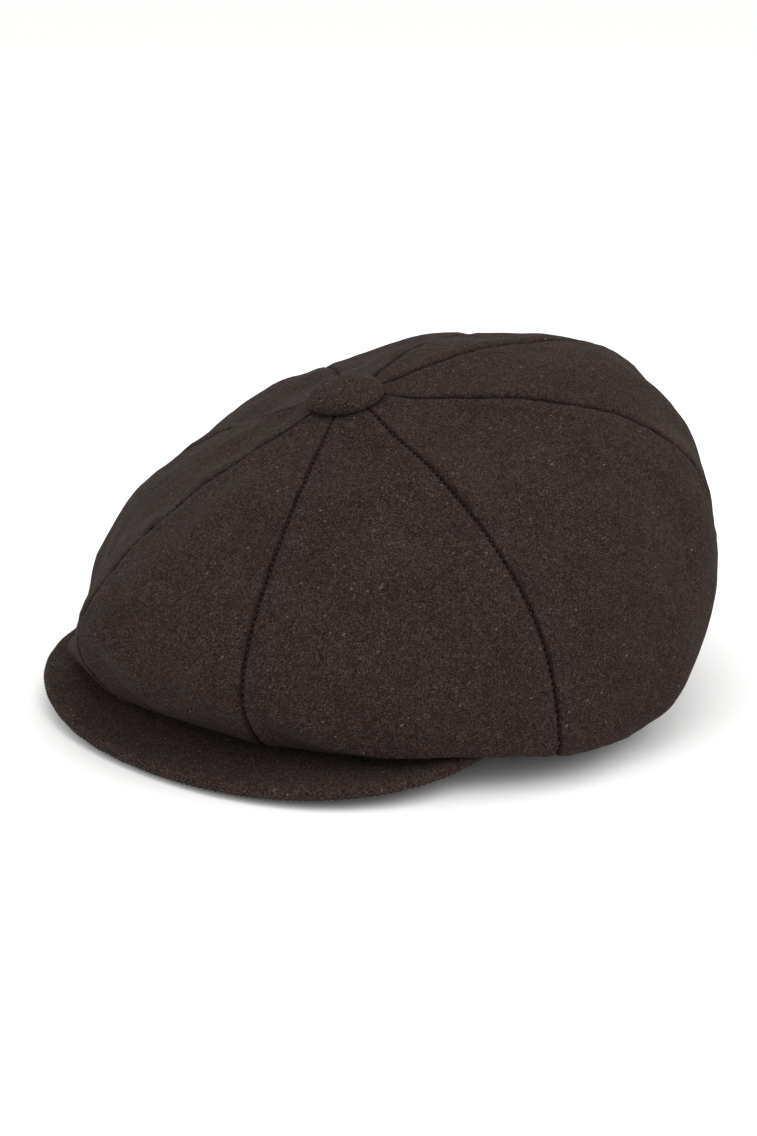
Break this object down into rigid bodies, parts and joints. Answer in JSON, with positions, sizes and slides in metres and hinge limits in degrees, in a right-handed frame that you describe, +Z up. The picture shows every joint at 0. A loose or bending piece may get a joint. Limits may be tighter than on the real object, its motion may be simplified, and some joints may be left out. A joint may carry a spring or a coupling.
{
  "type": "newsboy cap",
  "caption": "Panelled newsboy cap in dark melton wool with a full gathered crown, covered top button, stiff peak, satin lining and inner sweatband.",
  "frame": {"origin": "centre of the head opening, in the plane of the band's lower rim", "axes": "+Z up towards the crown, -Y towards the peak, +X to the wearer's left"},
  "size_m": [0.2676, 0.2794, 0.1356],
  "materials": {
    "melton_wool": "felted dark brown melton wool with a short nap",
    "lining_satin": "dark brown satin lining",
    "sweatband_twill": "black-brown cotton twill tape",
    "buckram": "stiff open-weave cotton interlining",
    "peak_board": "matte flexible plastic board",
    "button_metal": "plain pressed steel",
    "woven_tab": "plain woven tape, blank"
  },
  "bodies": {
    "crown": {"crown_panel_front": "melton_wool", "crown_panel_front_left": "melton_wool", "crown_panel_left": "melton_wool", "crown_panel_back_left": "melton_wool", "crown_panel_back": "melton_wool", "crown_panel_back_right": "melton_wool", "crown_panel_right": "melton_wool", "crown_panel_front_right": "melton_wool", "lining_gore_front": "lining_satin", "lining_gore_front_left": "lining_satin", "lining_gore_left": "lining_satin", "lining_gore_back_left": "lining_satin", "lining_gore_back": "lining_satin", "lining_gore_back_right": "lining_satin", "lining_gore_right": "lining_satin", "lining_gore_front_right": "lining_satin", "lining_disc": "lining_satin", "head_band": "melton_wool", "band_stiffener": "buckram", "sweatband": "sweatband_twill", "size_tab": "woven_tab", "button_cover": "melton_wool", "button_shell": "button_metal", "button_back_plate": "button_metal", "button_stay": "buckram"},
    "peak": {"peak_upper_cover": "melton_wool", "peak_board": "peak_board", "peak_lower_cover": "melton_wool"}
  },
  "joints": [
    {"name": "peak_flex", "type": "hinge", "parent": "crown", "child": "peak", "pos_m": [0, -0.078, 0.003], "axis": [-1, 0, 0], "range_deg": [-8, 4], "stiffness_Nm_per_rad": 1.2}
  ]
}
